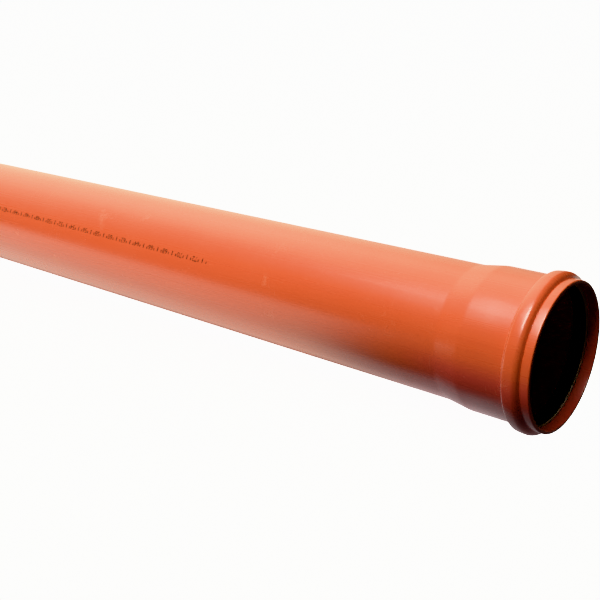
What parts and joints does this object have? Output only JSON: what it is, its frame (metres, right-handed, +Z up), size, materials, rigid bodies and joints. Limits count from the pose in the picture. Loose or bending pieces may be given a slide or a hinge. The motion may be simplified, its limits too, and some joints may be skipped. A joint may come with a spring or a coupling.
{
  "type": "pvc pipe",
  "caption": "Length of orange-brown plastic drain pipe with a belled socket on one end, a bevelled spigot on the other and a rubber sealing ring in the socket's groove.",
  "frame": {"origin": "on the floor, under the middle of the pipe's whole length and under its axis", "axes": "+X along the pipe's axis, out of the socket's mouth; +Z up, with the axis level and the ring bead touching the floor"},
  "size_m": [1.06, 0.1256, 0.1258],
  "materials": {
    "pipe": "satin",
    "seal": "satin"
  },
  "bodies": {
    "root": {"pipe": "pipe", "sealing_ring": "seal"}
  },
  "joints": []
}
